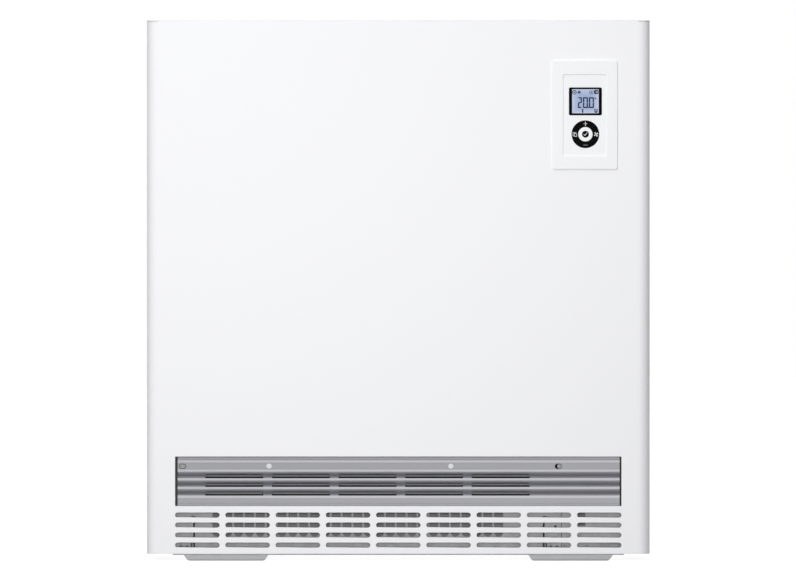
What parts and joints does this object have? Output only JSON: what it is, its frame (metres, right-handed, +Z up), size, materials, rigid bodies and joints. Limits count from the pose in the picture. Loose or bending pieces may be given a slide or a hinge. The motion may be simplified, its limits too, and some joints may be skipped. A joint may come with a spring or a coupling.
{
  "type": "storage heater",
  "caption": "Flat floor-standing storage heater with a folded sheet-steel casing, slotted air intake, tilting outlet grille, corner control unit, brick core, heating elements and fan.",
  "frame": {"origin": "on the floor under the feet, midway between the two sides and midway between the control unit's face and the back panel", "axes": "+X to the right as seen from the front, the front faces -Y, the wall is at +Y, +Z up"},
  "size_m": [0.605, 0.185, 0.65],
  "materials": {
    "white_paint": "satin",
    "foot_paint": "matte",
    "galvanised_sheet": "satin",
    "anodised_aluminium": "satin",
    "bright_steel": "polished",
    "white_plastic": "satin",
    "black_plastic": "satin",
    "display_glass": "gloss",
    "magnetite_brick": "matte",
    "element_steel": "matte",
    "mineral_board": "matte",
    "circuit_board": "satin",
    "filter_mesh": "matte",
    "black_rubber": "matte",
    "red_plastic": "satin",
    "beige_thermoset": "matte"
  },
  "bodies": {
    "casing": {"front_panel": "white_paint", "top_cover": "white_paint", "left_side_panel": "white_paint", "right_side_panel": "white_paint", "back_panel": "galvanised_sheet", "base_tray": "galvanised_sheet", "left_foot": "foot_paint", "right_foot": "foot_paint", "chassis_left": "galvanised_sheet", "chassis_right": "galvanised_sheet", "chassis_front": "galvanised_sheet", "intake_guard": "galvanised_sheet", "outlet_duct": "galvanised_sheet", "lint_filter": "filter_mesh", "fan_housing": "galvanised_sheet", "fan_bearing": "black_rubber", "fan_motor": "bright_steel", "bimetal_strip": "bright_steel", "core_brick_left_1": "magnetite_brick", "core_brick_right_1": "magnetite_brick", "core_brick_left_2": "magnetite_brick", "core_brick_right_2": "magnetite_brick", "core_brick_left_3": "magnetite_brick", "core_brick_right_3": "magnetite_brick", "core_brick_left_4": "magnetite_brick", "core_brick_right_4": "magnetite_brick", "heating_element_1": "element_steel", "heating_element_2": "element_steel", "heating_element_3": "element_steel", "insulation_front": "mineral_board", "insulation_rear": "mineral_board", "insulation_left": "mineral_board", "insulation_right": "mineral_board", "insulation_top": "mineral_board", "insulation_bottom": "mineral_board", "control_frame": "white_plastic", "control_fascia": "white_plastic", "display_bezel": "black_plastic", "display_screen": "display_glass", "control_board": "circuit_board", "control_housing": "black_plastic", "terminal_block": "beige_thermoset", "power_relay": "black_plastic", "safety_limiter": "beige_thermoset", "core_sensor": "bright_steel", "cable_grommet": "black_rubber"},
    "grille": {"outlet_grille": "anodised_aluminium", "grille_rail": "galvanised_sheet", "grille_screw_left": "bright_steel", "grille_screw_right": "bright_steel"},
    "latch_left": {"grille_latch_left": "bright_steel"},
    "latch_right": {"grille_latch_right": "bright_steel"},
    "fan": {"fan_rotor": "anodised_aluminium"},
    "flap": {"mixing_flap": "galvanised_sheet"},
    "key_fan": {"fan_key": "black_plastic"},
    "key_plus": {"plus_key": "black_plastic"},
    "key_menu": {"menu_key": "black_plastic"},
    "key_minus": {"minus_key": "black_plastic"},
    "key_ok": {"ok_key": "white_plastic"},
    "reset": {"reset_button": "red_plastic"}
  },
  "joints": [
    {"name": "grille_tilt", "type": "hinge", "parent": "casing", "child": "grille", "pos_m": [0, -0.08905, 0.06615], "axis": [1, 0, 0], "range_deg": [0, 80]},
    {"name": "latch_left_slide", "type": "slide", "parent": "grille", "child": "latch_left", "axis": [-1, 0, 0], "range_m": [0, 0.0056]},
    {"name": "latch_right_slide", "type": "slide", "parent": "grille", "child": "latch_right", "axis": [1, 0, 0], "range_m": [0, 0.0056]},
    {"name": "fan_spin", "type": "hinge", "parent": "casing", "child": "fan", "pos_m": [0, -0.046, 0.036], "axis": [1, 0, 0], "continuous": true},
    {"name": "flap_swing", "type": "hinge", "parent": "casing", "child": "flap", "pos_m": [0, -0.027, 0.12], "axis": [1, 0, 0], "range_deg": [0, 35]},
    {"name": "fan_key_press", "type": "slide", "parent": "casing", "child": "key_fan", "axis": [0, 1, 0], "range_m": [0, 0.0005], "stiffness_N_per_m": 400, "springref_m": -0.0004},
    {"name": "plus_key_press", "type": "slide", "parent": "casing", "child": "key_plus", "axis": [0, 1, 0], "range_m": [0, 0.0005], "stiffness_N_per_m": 400, "springref_m": -0.0004},
    {"name": "menu_key_press", "type": "slide", "parent": "casing", "child": "key_menu", "axis": [0, 1, 0], "range_m": [0, 0.0005], "stiffness_N_per_m": 400, "springref_m": -0.0004},
    {"name": "minus_key_press", "type": "slide", "parent": "casing", "child": "key_minus", "axis": [0, 1, 0], "range_m": [0, 0.0005], "stiffness_N_per_m": 400, "springref_m": -0.0004},
    {"name": "ok_key_press", "type": "slide", "parent": "casing", "child": "key_ok", "axis": [0, 1, 0], "range_m": [0, 0.0005], "stiffness_N_per_m": 400, "springref_m": -0.0004},
    {"name": "reset_press", "type": "slide", "parent": "casing", "child": "reset", "axis": [-1, 0, 0], "range_m": [0, 0.0015], "stiffness_N_per_m": 600, "springref_m": -0.0005}
  ]
}
